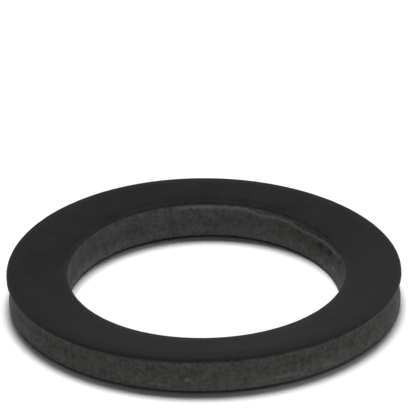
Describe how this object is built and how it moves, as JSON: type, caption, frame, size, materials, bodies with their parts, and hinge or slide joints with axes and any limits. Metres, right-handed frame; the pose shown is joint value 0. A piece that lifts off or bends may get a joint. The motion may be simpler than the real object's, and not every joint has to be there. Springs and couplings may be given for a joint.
{
  "type": "flat gasket",
  "caption": "Flat rubber sealing ring of rectangular section with rounded edges and a straight bore, squeezed between flat faces round a spigot or screw to make a joint tight.",
  "frame": {"origin": "centre of the bore in the plane of the lower sealing face", "axes": "+Z along the bore, out of the upper sealing face; the ring lies flat in XY"},
  "size_m": [0.025, 0.025, 0.0025],
  "materials": {
    "rubber": "matt black rubber, smooth faces and a dull cut wall"
  },
  "bodies": {
    "root": {"gasket_ring": "rubber"}
  },
  "joints": []
}
